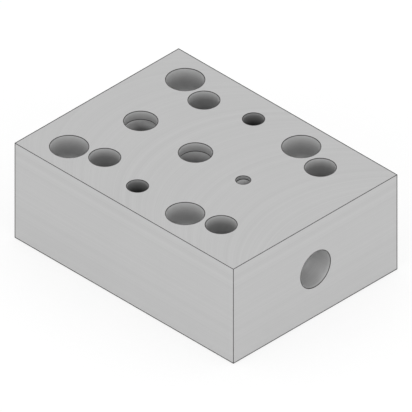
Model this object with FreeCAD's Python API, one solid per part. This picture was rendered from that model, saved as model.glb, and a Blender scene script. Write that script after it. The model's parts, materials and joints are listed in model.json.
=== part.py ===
import FreeCAD, Part
import math
import os

# A relief valve adapter: one machined block that carries a relief valve on its top face and bolts down
# onto a directional valve's port pattern with its underside. Sizes are in millimetres. The origin is the
# centre of the underside, +X points to the end face with the vent port and +Z points up to the valve.

Vector = FreeCAD.Vector
UP = Vector(0, 0, 1)
DOWN = Vector(0, 0, -1)
TOWARDS_REAR = Vector(-1, 0, 0)

# Block
block_length = 101.6
block_width = 76.2
block_height = 38.1
outer_edge_break = 0.15
mouth_break = 0.1
drill_point_angle = 118.0

# Valve pattern on the top face, placed from the plain end face and from the bolt line nearest the vent end
valve_centre_from_plain_end = 41.148
valve_bolt_spacing_x = 53.8
valve_bolt_spacing_y = 53.8
valve_thread_diameter = 12.7
valve_thread_depth = 25.4
valve_tap_drill_diameter = 10.7
valve_tap_drill_depth = 29.4
valve_pressure_port_from_bolt_line = 22.1
valve_tank_port_from_bolt_line = 47.5
locating_hole_diameter = 7.1
locating_hole_depth = 8.0

# Base pattern on the underside, placed from the plain end face and from the middle of its four bolts
base_centre_from_plain_end = 53.848
base_bolt_spacing_x = 54.0
base_bolt_spacing_y = 46.0
base_bolt_hole_diameter = 7.14
base_counterbore_diameter = 10.32
base_counterbore_depth = 12.7
base_pressure_port_y = -16.7
base_work_port_spacing = 20.6
base_work_port_y = -1.6
base_tank_port_spacing = 47.6
base_tank_port_y = 9.5
seal_seat_diameter = 16.0
seal_seat_depth = 1.4

# Ports and the slanted passages between them
main_port_diameter = 11.11
main_port_spot_depth = 3.35
vent_port_diameter = 4.8
vent_port_spot_depth = 1.3

# Tapped vent port in the end face
end_port_diameter = 13.72
end_port_thread_depth = 15.0
end_port_drill_diameter = 11.1
end_port_depth = 19.0
end_port_height = 19.05

# Places that follow from the sizes above
plain_end_x = -block_length / 2
vent_end_x = block_length / 2
valve_centre_x = plain_end_x + valve_centre_from_plain_end
valve_bolt_line_x = valve_centre_x + valve_bolt_spacing_x / 2
valve_pressure_x = valve_bolt_line_x - valve_pressure_port_from_bolt_line
valve_tank_x = valve_bolt_line_x - valve_tank_port_from_bolt_line
base_centre_x = plain_end_x + base_centre_from_plain_end
base_pressure_place = (base_centre_x, base_pressure_port_y)
base_tank_place = (base_centre_x - base_tank_port_spacing / 2, base_tank_port_y)
base_spare_tank_place = (base_centre_x + base_tank_port_spacing / 2, base_tank_port_y)
base_work_places = (
    (base_centre_x - base_work_port_spacing / 2, base_work_port_y),
    (base_centre_x + base_work_port_spacing / 2, base_work_port_y),
)


def rectangle_places(centre_x, spacing_x, spacing_y):
    """The four corners of a bolt rectangle that is centred across the block."""
    return [
        (centre_x + side_x * spacing_x / 2, side_y * spacing_y / 2)
        for side_x in (-1, 1)
        for side_y in (-1, 1)
    ]


def point_length(diameter):
    """Length of the cone that a drill of this diameter leaves at the bottom of a blind hole."""
    return diameter / 2 / math.tan(math.radians(drill_point_angle / 2))


def turned_hole(mouth, inward, profile):
    """The space of a round hole: its (radius, depth) points turned about the hole's axis."""
    outline = [Vector(radius, 0, depth) for radius, depth in profile]
    outline.append(outline[0])
    space = Part.Face(Part.makePolygon(outline)).revolve(Vector(0, 0, 0), UP, 360)
    space.Placement = FreeCAD.Placement(mouth, FreeCAD.Rotation(UP, inward))
    return space


def flat_hole(mouth, inward, diameter, depth):
    """A flat-bottomed round recess with a sharp mouth, for a seal ring's seat or the start of a port."""
    return Part.makeCylinder(diameter / 2, depth, mouth, inward)


def drilled_hole(mouth, inward, diameter, depth):
    """A blind drilled hole with a sharp mouth and a drill point at its end."""
    radius = diameter / 2
    profile = [
        (0, 0),
        (radius, 0),
        (radius, depth),
        (0, depth + point_length(diameter)),
    ]
    return turned_hole(mouth, inward, profile)


def tapped_hole(mouth, inward, thread_diameter, thread_depth, drill_diameter, drill_depth):
    """A tapped hole at its outer thread diameter, with the narrower tap drill running on below it."""
    thread_radius = thread_diameter / 2
    drill_radius = drill_diameter / 2
    run_out = thread_radius - drill_radius
    profile = [
        (0, 0),
        (thread_radius + mouth_break, 0),
        (thread_radius, mouth_break),
        (thread_radius, thread_depth),
        (drill_radius, thread_depth + run_out),
        (drill_radius, drill_depth),
        (0, drill_depth + point_length(drill_diameter)),
    ]
    return turned_hole(mouth, inward, profile)


def counterbored_hole(mouth, inward, bore_diameter, bore_depth, hole_diameter, length):
    """A through hole for a cap screw whose head sinks into a counterbore."""
    bore_radius = bore_diameter / 2
    hole_radius = hole_diameter / 2
    profile = [
        (0, 0),
        (bore_radius + mouth_break, 0),
        (bore_radius, mouth_break),
        (bore_radius, bore_depth),
        (hole_radius, bore_depth),
        (hole_radius, length - mouth_break),
        (hole_radius + mouth_break, length),
        (0, length),
    ]
    return turned_hole(mouth, inward, profile)


def slanted_passage(start, end, diameter):
    """A slanted passage that is round in every level cut, so it meets upright spots edge to edge."""
    mouth = Part.Face(Part.Wire(Part.makeCircle(diameter / 2, start)))
    return mouth.extrude(end - start)


def plain_block():
    """The sawn and milled block with its outer edges broken."""
    corner = Vector(plain_end_x, -block_width / 2, 0)
    block = Part.makeBox(block_length, block_width, block_height, corner)
    return block.makeChamfer(outer_edge_break, block.Edges)


def valve_bolt_holes():
    """Four tapped holes that hold the relief valve down."""
    return [
        tapped_hole(
            Vector(x, y, block_height),
            DOWN,
            valve_thread_diameter,
            valve_thread_depth,
            valve_tap_drill_diameter,
            valve_tap_drill_depth,
        )
        for x, y in rectangle_places(valve_centre_x, valve_bolt_spacing_x, valve_bolt_spacing_y)
    ]


def locating_holes():
    """Two blind holes for the valve's locating pins, on the bolt rows and in line with the pressure port."""
    return [
        drilled_hole(
            Vector(valve_pressure_x, side * valve_bolt_spacing_y / 2, block_height),
            DOWN,
            locating_hole_diameter,
            locating_hole_depth,
        )
        for side in (-1, 1)
    ]


def base_bolt_holes():
    """Four counterbored holes that bolt the adapter down."""
    return [
        counterbored_hole(
            Vector(x, y, block_height),
            DOWN,
            base_counterbore_diameter,
            base_counterbore_depth,
            base_bolt_hole_diameter,
            block_height,
        )
        for x, y in rectangle_places(base_centre_x, base_bolt_spacing_x, base_bolt_spacing_y)
    ]


def seal_seat(place):
    """A shallow seat for a seal ring round one port of the underside."""
    x, y = place
    return flat_hole(Vector(x, y, 0), UP, seal_seat_diameter, seal_seat_depth)


def main_passage(valve_x, base_place):
    """One flow path: upright spots at the top face and in the seal seat, joined by a slanted passage."""
    base_x, base_y = base_place
    top_mouth = Vector(valve_x, 0, block_height)
    base_mouth = Vector(base_x, base_y, seal_seat_depth)
    top_end = top_mouth + DOWN * main_port_spot_depth
    base_end = base_mouth + UP * main_port_spot_depth
    return [
        flat_hole(top_mouth, DOWN, main_port_diameter, main_port_spot_depth),
        flat_hole(base_mouth, UP, main_port_diameter, main_port_spot_depth),
        slanted_passage(top_end, base_end, main_port_diameter),
    ]


def vent_passage():
    """The small path from the vent port in the top face down to the inner end of the end port."""
    mouth = Vector(valve_bolt_line_x, 0, block_height)
    start = mouth + DOWN * vent_port_spot_depth
    inner_end_x = vent_end_x - end_port_depth + vent_port_diameter / 2
    return [
        flat_hole(mouth, DOWN, vent_port_diameter, vent_port_spot_depth),
        slanted_passage(start, Vector(inner_end_x, 0, end_port_height), vent_port_diameter),
    ]


def end_port():
    """The tapped port in the end face."""
    return tapped_hole(
        Vector(vent_end_x, 0, end_port_height),
        TOWARDS_REAR,
        end_port_diameter,
        end_port_thread_depth,
        end_port_drill_diameter,
        end_port_depth,
    )


def adapter_block():
    """The finished block."""
    spaces = valve_bolt_holes() + locating_holes() + base_bolt_holes()
    for place in (base_pressure_place, base_tank_place, base_spare_tank_place, *base_work_places):
        spaces.append(seal_seat(place))
    spaces += main_passage(valve_pressure_x, base_pressure_place)
    spaces += main_passage(valve_tank_x, base_tank_place)
    spaces += vent_passage()
    spaces.append(end_port())
    return plain_block().cut(spaces).removeSplitter()


os.makedirs("parts", exist_ok=True)
block = adapter_block()
block.exportStep("parts/adapter_block.step")
print("solids", len(block.Solids), "valid", block.isValid(), "volume", round(block.Volume, 1))
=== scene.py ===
import json
import math

import bpy
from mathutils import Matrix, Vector


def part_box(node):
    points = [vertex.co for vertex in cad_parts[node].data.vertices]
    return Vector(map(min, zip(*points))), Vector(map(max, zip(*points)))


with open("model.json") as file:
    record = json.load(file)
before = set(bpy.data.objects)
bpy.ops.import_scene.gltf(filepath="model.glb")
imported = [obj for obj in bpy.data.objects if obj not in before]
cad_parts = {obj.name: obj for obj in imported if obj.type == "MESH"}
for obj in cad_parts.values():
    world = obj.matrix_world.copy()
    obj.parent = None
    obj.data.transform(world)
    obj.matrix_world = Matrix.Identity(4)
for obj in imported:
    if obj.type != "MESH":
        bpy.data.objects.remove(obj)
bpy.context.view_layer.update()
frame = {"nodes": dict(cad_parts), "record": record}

# Everything is in metres, and small sizes are written as millimetres times MM
MM = 0.001

# Camera: an exact isometric view aimed at the middle of the block
camera_azimuth = math.radians(45.0)
camera_elevation = math.atan(math.sqrt(0.5))
camera_distance = 0.6
camera_frame_width = 135.09 * MM

# Light: a white room and two large soft lamps, one for each upright face that the camera sees
white = (1.0, 1.0, 1.0, 1.0)
world_strength = 1.0
lamp_distance = 0.9
lamp_height = 0.25
lamp_size = 0.8
lamp_watts = 1.45

# Floor
floor_size = 4.0
floor_drop = 0.02 * MM
floor_own_white = 0.7

# Block, with the sizes inside its holes
block = frame["nodes"]["adapter_block"]
block_low, block_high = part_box("adapter_block")
block_middle = (block_low + block_high) / 2
counterbore_radius = 5.16 * MM
counterbore_depth = 12.7 * MM
main_port_radius = 5.555 * MM
main_port_step_depth = 3.35 * MM
vent_port_step_depth = 1.3 * MM
seat_depth = 1.4 * MM

# Finish of the outer faces: milled metal, with the cutter's curved path faint on it
face_tone = 0.535
face_roughness = 0.45
roughness_spread = 0.5
cutter_path_radius = 50.0 * MM
fine_marks_per_metre = 2600.0
fine_marks_contrast = 0.12
coarse_marks_per_metre = 420.0
coarse_marks_contrast = 0.10
patches_per_metre = 60.0
patch_contrast = 0.04
noise_middle = 0.5
marks_relief = 0.004 * MM
level_face_limit = 0.5

# Thin dark lines along the broken edges and round the holes
line_tone = 0.05
edge_line_depth = 0.162 * MM
outline_width = 0.33 * MM
rim_line_width = 0.25 * MM
wall_line_width = 0.14 * MM
step_line_width = 0.14 * MM
line_blur = 0.04 * MM

# Inside the holes: a plain tone for the inner walls, and painted shade as pairs of depth in
# millimetres and tone, from the mouth inwards, mostly darker with depth and in some holes lighter
# again near the bottom
inner_tone = 0.42
wall_start = 0.3 * MM
passage_reach = 4.0 * MM
hole_margin = 0.3 * MM
tone_blend = 0.1 * MM
tone_fade = 1.4 * MM
tapped_painted_shade = ((0.0, 0.55), (1.5, 0.46), (5.5, 0.385), (7.2, 0.47), (9.0, 0.84))
counterbore_painted_shade = ((0.0, 0.55), (1.5, 0.40), (3.5, 0.30), (7.0, 0.34))
pressure_port_painted_shade = ((0.0, 0.54), (1.5, 0.39), (3.35, 0.37), (3.36, 0.40), (5.5, 0.22), (7.5, 0.10))
tank_port_painted_shade = ((0.0, 0.54), (1.5, 0.40), (3.35, 0.37), (3.36, 0.62), (5.5, 0.51), (7.5, 0.25))
vent_port_painted_shade = ((0.0, 0.35), (1.3, 0.29), (1.31, 0.50), (3.0, 0.33))
locating_hole_painted_shade = ((0.0, 0.40), (1.2, 0.205), (3.0, 0.15), (4.8, 0.045))
end_port_painted_shade = ((0.0, 0.60), (1.5, 0.50), (4.0, 0.54), (6.5, 0.62), (10.0, 0.78))
seat_painted_shade = ((0.0, 0.50), (1.4, 0.46))
base_port_painted_shade = ((0.0, 0.46), (1.4, 0.46), (9.0, 0.22))
bolt_hole_painted_shade = ((0.0, 0.44), (5.0, 0.30))

# Painted light and shade on the slanted wall of the tank port: its tone rises with how far the wall
# leans out past the mouth, and falls where the wall lies inside the mouth
painted_lean_light_per_metre = 1.1 / MM
painted_lean_light_least = 0.7

# Painted highlight on the wall of the end port: lighter along its middle than at its sides, where it
# is painted darker
painted_streak_half_width = 7.8 * MM
painted_streak_middle_gain = 1.1
painted_streak_side_gain = 0.86


class Hole:
    """One hole or a pattern of like holes that open in one face, with the painted shade of their
    walls.
    """

    def __init__(self, mount_name, face, painted_shades, radius=None, pair_side=0, slanted=False,
                 has_painted_lean_light=False, has_painted_streak=False, mouth_depth=0.0, step_depth=None):
        mount = next(item for item in frame["record"]["mounts"] if item["name"] == mount_name)
        dims = mount["dims"]
        spacing_x = dims.get("spacing_x_mm", 0.0) * MM
        spacing_y = dims.get("spacing_y_mm", 0.0) * MM
        self.face = face
        self.place = Vector(mount["pos_m"])
        self.place.x += pair_side * spacing_x / 2
        self.spacing_x = 0.0 if pair_side else spacing_x
        self.spacing_y = 0.0 if pair_side else spacing_y
        self.radius = radius or dims.get("r_mm", dims.get("hole_r_mm")) * MM
        self.margin = passage_reach if slanted else hole_margin
        self.painted_shades = painted_shades
        self.has_painted_lean_light = has_painted_lean_light
        self.has_painted_streak = has_painted_streak
        self.rings = [(rim_line_width, mouth_depth, wall_line_width)]
        if step_depth:
            self.rings.append((step_line_width, step_depth, step_line_width))


# Where two of these overlap, the later one's painted shade is the one that shows
HOLES = (
    Hole("base_pressure_seat", "underside", base_port_painted_shade, radius=main_port_radius,
         slanted=True, mouth_depth=seat_depth, step_depth=seat_depth + main_port_step_depth),
    Hole("base_tank_seats", "underside", base_port_painted_shade, radius=main_port_radius, pair_side=-1,
         slanted=True, mouth_depth=seat_depth, step_depth=seat_depth + main_port_step_depth),
    Hole("base_pressure_seat", "underside", seat_painted_shade, step_depth=seat_depth),
    Hole("base_tank_seats", "underside", seat_painted_shade, step_depth=seat_depth),
    Hole("base_work_seats", "underside", seat_painted_shade, step_depth=seat_depth),
    Hole("base_bolts", "underside", bolt_hole_painted_shade),
    Hole("valve_main_ports", "top", pressure_port_painted_shade, pair_side=1, slanted=True,
         step_depth=main_port_step_depth),
    Hole("valve_main_ports", "top", tank_port_painted_shade, pair_side=-1, slanted=True, has_painted_lean_light=True,
         step_depth=main_port_step_depth),
    Hole("valve_vent_port", "top", vent_port_painted_shade, slanted=True, step_depth=vent_port_step_depth),
    Hole("valve_bolts", "top", tapped_painted_shade),
    Hole("base_bolts", "top", bolt_hole_painted_shade, mouth_depth=counterbore_depth),
    Hole("base_bolts", "top", counterbore_painted_shade, radius=counterbore_radius,
         step_depth=counterbore_depth),
    Hole("locating_holes", "top", locating_hole_painted_shade),
    Hole("end_port", "end", end_port_painted_shade, has_painted_streak=True),
)


class Nodes:
    """Short calls that build one material from shader nodes."""

    def __init__(self, material):
        material.use_nodes = True
        self.tree = material.node_tree

    def add(self, kind, **settings):
        node = self.tree.nodes.new(kind)
        for name, value in settings.items():
            setattr(node, name, value)
        return node

    def feed(self, socket, value):
        """Links an output to the socket, or sets the socket's own value."""
        if isinstance(value, bpy.types.NodeSocket):
            self.tree.links.new(value, socket)
        else:
            socket.default_value = value

    def fill(self, node, entries):
        for name, entry in entries.items():
            self.feed(node.inputs[name], entry)

    def maths(self, operation, *values):
        node = self.add("ShaderNodeMath", operation=operation)
        for socket, value in zip(node.inputs, values):
            self.feed(socket, value)
        return node.outputs[0]

    def plus(self, first, second):
        return self.maths("ADD", first, second)

    def minus(self, first, second):
        return self.maths("SUBTRACT", first, second)

    def times(self, first, second):
        return self.maths("MULTIPLY", first, second)

    def least(self, first, second):
        return self.maths("MINIMUM", first, second)

    def most(self, first, second):
        return self.maths("MAXIMUM", first, second)

    def amount(self, value):
        return self.maths("ABSOLUTE", value)

    def split(self, vector):
        node = self.add("ShaderNodeSeparateXYZ")
        self.feed(node.inputs[0], vector)
        return node.outputs

    def ramp(self, value, start, end, low, high):
        """Goes smoothly from low to high while value goes from start to end."""
        node = self.add("ShaderNodeMapRange", interpolation_type="SMOOTHSTEP")
        self.fill(node, {
            "Value": value,
            "From Min": start,
            "From Max": end,
            "To Min": low,
            "To Max": high,
        })
        return node.outputs["Result"]

    def under(self, value, limit, blur):
        """One where value is under the limit and nought above it."""
        return self.ramp(value, limit - blur, limit + blur, 1.0, 0.0)

    def mix(self, share, first, second):
        node = self.add("ShaderNodeMix", data_type="FLOAT")
        self.fill(node, {"Factor": share, "A": first, "B": second})
        return node.outputs["Result"]

    def steps(self, depth, pairs):
        """A tone that follows straight lines between pairs of depth in millimetres and tone."""
        deepest = pairs[-1][0]
        node = self.add("ShaderNodeValToRGB")
        self.feed(node.inputs[0], self.maths("DIVIDE", depth, deepest * MM))
        stops = node.color_ramp.elements
        for stop_depth, _ in pairs[1:-1]:
            stops.new(stop_depth / deepest)
        for stop, (_, tone) in zip(stops, pairs):
            stop.color = (tone, tone, tone, 1.0)
        return node.outputs[0]

    def noise(self, dimensions, scale, socket_name, place):
        """Soft noise that lies about nought."""
        node = self.add("ShaderNodeTexNoise", noise_dimensions=dimensions)
        self.feed(node.inputs[socket_name], place)
        node.inputs["Scale"].default_value = scale
        return self.minus(node.outputs["Fac"], noise_middle)


def set_camera():
    back = Vector((
        math.sin(camera_azimuth) * math.cos(camera_elevation),
        -math.cos(camera_azimuth) * math.cos(camera_elevation),
        math.sin(camera_elevation),
    ))
    data = bpy.data.cameras.new("camera")
    data.type = "ORTHO"
    data.ortho_scale = camera_frame_width
    camera = bpy.data.objects.new("camera", data)
    bpy.context.scene.collection.objects.link(camera)
    camera.location = block_middle + back * camera_distance
    camera.rotation_mode = "QUATERNION"
    camera.rotation_quaternion = (-back).to_track_quat("-Z", "Y")
    bpy.context.scene.camera = camera


def set_world():
    world = bpy.data.worlds.new("white_room")
    world.use_nodes = True
    background = world.node_tree.nodes["Background"]
    background.inputs["Color"].default_value = white
    background.inputs["Strength"].default_value = world_strength
    bpy.context.scene.world = world


def add_lamp(name, place):
    """A large square lamp at this place, turned towards the block."""
    data = bpy.data.lights.new(name, "AREA")
    data.shape = "SQUARE"
    data.size = lamp_size
    data.energy = lamp_watts
    lamp = bpy.data.objects.new(name, data)
    bpy.context.scene.collection.objects.link(lamp)
    lamp.location = place
    lamp.rotation_mode = "QUATERNION"
    lamp.rotation_quaternion = (block_middle - place).to_track_quat("-Z", "Y")


def floor_material():
    """White, partly of its own for the camera and reflections, under the block's soft shadow."""
    material = bpy.data.materials.new("floor")
    nodes = Nodes(material)
    nodes.tree.nodes.clear()
    ray = nodes.add("ShaderNodeLightPath").outputs
    reflected = nodes.most(ray["Is Glossy Ray"], ray["Is Transmission Ray"])
    seen = nodes.most(ray["Is Camera Ray"], reflected)
    diffuse = nodes.add("ShaderNodeBsdfDiffuse")
    diffuse.inputs["Color"].default_value = white
    glow = nodes.add("ShaderNodeEmission")
    glow.inputs["Color"].default_value = white
    mix = nodes.add("ShaderNodeMixShader")
    nodes.feed(mix.inputs[0], nodes.times(seen, floor_own_white))
    nodes.feed(mix.inputs[1], diffuse.outputs[0])
    nodes.feed(mix.inputs[2], glow.outputs[0])
    output = nodes.add("ShaderNodeOutputMaterial")
    nodes.feed(output.inputs["Surface"], mix.outputs[0])
    return material


def make_floor():
    half = floor_size / 2
    square = ((-half, -half), (half, -half), (half, half), (-half, half))
    mesh = bpy.data.meshes.new("floor")
    mesh.from_pydata([(x, y, -floor_drop) for x, y in square], [], [(0, 1, 2, 3)])
    floor = bpy.data.objects.new("floor", mesh)
    bpy.context.scene.collection.objects.link(floor)
    floor.data.materials.append(floor_material())


def face_depths(nodes, place):
    """How far a point lies below the three faces that the camera sees, and the three opposite."""
    below_high = [nodes.minus(high, value) for high, value in zip(block_high, place)]
    above_low = [nodes.minus(value, low) for low, value in zip(block_low, place)]
    shown = [below_high[0], above_low[1], below_high[2]]
    opposite = [above_low[0], below_high[1], above_low[2]]
    return shown, opposite


def least_depths(nodes, shown, opposite):
    """The least and the second least of a point's depths, with one depth for each direction."""
    depths = [nodes.least(one, other) for one, other in zip(shown, opposite)]
    nearer = nodes.least(depths[0], depths[1])
    farther = nodes.most(depths[0], depths[1])
    least = nodes.least(nearer, depths[2])
    second = nodes.most(nearer, nodes.least(farther, depths[2]))
    return least, second


def hole_distances(nodes, place, hole):
    """How far a point lies past the radius of a pattern's nearest hole, and below their face."""
    x, y, z = place
    if hole.face == "end":
        across = nodes.minus(y, hole.place.y)
        along = nodes.minus(z, hole.place.z)
        depth = nodes.minus(block_high.x, x)
    else:
        across = nodes.minus(nodes.amount(nodes.minus(x, hole.place.x)), hole.spacing_x / 2)
        along = nodes.minus(nodes.amount(nodes.minus(y, hole.place.y)), hole.spacing_y / 2)
        depth = nodes.minus(block_high.z, z) if hole.face == "top" else nodes.minus(z, block_low.z)
    away = nodes.maths("SQRT", nodes.plus(nodes.times(across, across), nodes.times(along, along)))
    return nodes.minus(away, hole.radius), depth


def painted_lean_light_gain(nodes, beyond):
    """Painted light and shade: a gain of one at the hole's radius, more outside it and less inside.
    """
    gain = nodes.plus(nodes.times(beyond, painted_lean_light_per_metre), 1.0)
    return nodes.most(gain, painted_lean_light_least)


def painted_streak_gain(nodes, place, hole):
    """A painted highlight: a gain that falls on both sides of the plane that slants at 45 degrees
    through the axis.
    """
    y, z = place[1], place[2]
    sideways = nodes.plus(nodes.minus(y, hole.place.y), nodes.minus(z, hole.place.z))
    reach = nodes.amount(sideways)
    return nodes.ramp(reach, 0.0, painted_streak_half_width, painted_streak_middle_gain, painted_streak_side_gain)


def painted_hole_shade(nodes, place, hole, beyond, depth):
    """The painted shade of a hole's wall by its depth, which two of the holes change sideways too
    with painted light.
    """
    tone = nodes.steps(depth, hole.painted_shades)
    if hole.has_painted_lean_light:
        tone = nodes.times(tone, painted_lean_light_gain(nodes, beyond))
    if hole.has_painted_streak:
        tone = nodes.times(tone, painted_streak_gain(nodes, place, hole))
    return tone


def edge_lines(nodes, shown, opposite):
    """A line on every edge's break, wider on the shown faces where they end the block's outline."""
    shown_depth = nodes.least(nodes.least(shown[0], shown[1]), shown[2])
    lead = nodes.times(nodes.under(shown_depth, edge_line_depth, line_blur), outline_width)
    led = [nodes.minus(depth, lead) for depth in opposite]
    return nodes.under(least_depths(nodes, shown, led)[1], edge_line_depth, line_blur)


def ring_line(nodes, ring, beyond, depth):
    """A thin line round a hole, at its mouth or at a step in its wall."""
    width, ring_depth, height = ring
    at_radius = nodes.under(nodes.amount(beyond), width, line_blur)
    at_depth = nodes.under(nodes.amount(nodes.minus(depth, ring_depth)), height, line_blur)
    return nodes.times(at_radius, at_depth)


def milling_marks(nodes, position, place, normal):
    """Faint marks, curved on the level faces and straight on the upright ones, and soft patches."""
    x, y, z = place
    swing = nodes.most(nodes.minus(cutter_path_radius ** 2, nodes.times(y, y)), 0.0)
    arc = nodes.plus(x, nodes.maths("SQRT", swing))
    level = nodes.maths("GREATER_THAN", nodes.amount(nodes.split(normal)[2]), level_face_limit)
    path = nodes.mix(level, z, arc)
    fine = nodes.times(nodes.noise("1D", fine_marks_per_metre, "W", path), fine_marks_contrast)
    coarse = nodes.times(nodes.noise("1D", coarse_marks_per_metre, "W", path), coarse_marks_contrast)
    patches = nodes.times(nodes.noise("3D", patches_per_metre, "Vector", position), patch_contrast)
    return nodes.plus(fine, nodes.plus(coarse, patches))


def hole_looks(nodes, place):
    """The lines round all the holes, and the painted shade of their walls."""
    lines = 0.0
    wall_tone_with_painted_shade = inner_tone
    for hole in HOLES:
        beyond, depth = hole_distances(nodes, place, hole)
        for ring in hole.rings:
            lines = nodes.most(lines, ring_line(nodes, ring, beyond, depth))
        within = nodes.under(beyond, hole.margin, tone_blend)
        shallow = nodes.under(depth, hole.painted_shades[-1][0] * MM + tone_fade, tone_fade)
        own_painted_shade = painted_hole_shade(nodes, place, hole, beyond, depth)
        wall_tone_with_painted_shade = nodes.mix(nodes.times(within, shallow), wall_tone_with_painted_shade, own_painted_shade)
    return lines, wall_tone_with_painted_shade


def relief(nodes, marks):
    """The marks as a slight unevenness of the surface."""
    bump = nodes.add("ShaderNodeBump")
    nodes.fill(bump, {"Distance": marks_relief, "Height": marks})
    return bump.outputs["Normal"]


def metal_material():
    """Milled metal outside and duller drilled walls with painted shade inside, with thin dark lines
    along every edge.
    """
    material = bpy.data.materials.new("machined_metal")
    nodes = Nodes(material)
    shader = nodes.tree.nodes["Principled BSDF"]
    geometry = nodes.add("ShaderNodeNewGeometry").outputs
    place = nodes.split(geometry["Position"])
    shown, opposite = face_depths(nodes, place)
    hole_lines, wall_tone_with_painted_shade = hole_looks(nodes, place)
    lines = nodes.most(edge_lines(nodes, shown, opposite), hole_lines)
    inside = nodes.ramp(least_depths(nodes, shown, opposite)[0], 0.0, wall_start, 0.0, 1.0)
    marks = milling_marks(nodes, geometry["Position"], place, geometry["Normal"])
    # The inner walls take their painted shade, the outer faces their own tone
    tone = nodes.times(nodes.mix(inside, face_tone, wall_tone_with_painted_shade), nodes.plus(marks, 1.0))
    nodes.fill(shader, {
        "Base Color": nodes.mix(lines, tone, line_tone),
        "Metallic": nodes.minus(1.0, inside),
        "Roughness": nodes.plus(face_roughness, nodes.times(marks, roughness_spread)),
        "Normal": relief(nodes, marks),
    })
    return material


def dress_block():
    block.data.materials.clear()
    block.data.materials.append(metal_material())


set_camera()
set_world()
add_lamp("left_lamp", Vector((0.0, -lamp_distance, lamp_height)))
add_lamp("right_lamp", Vector((lamp_distance, 0.0, lamp_height)))
make_floor()
dress_block()
bpy.context.scene.view_settings.view_transform = "Standard"
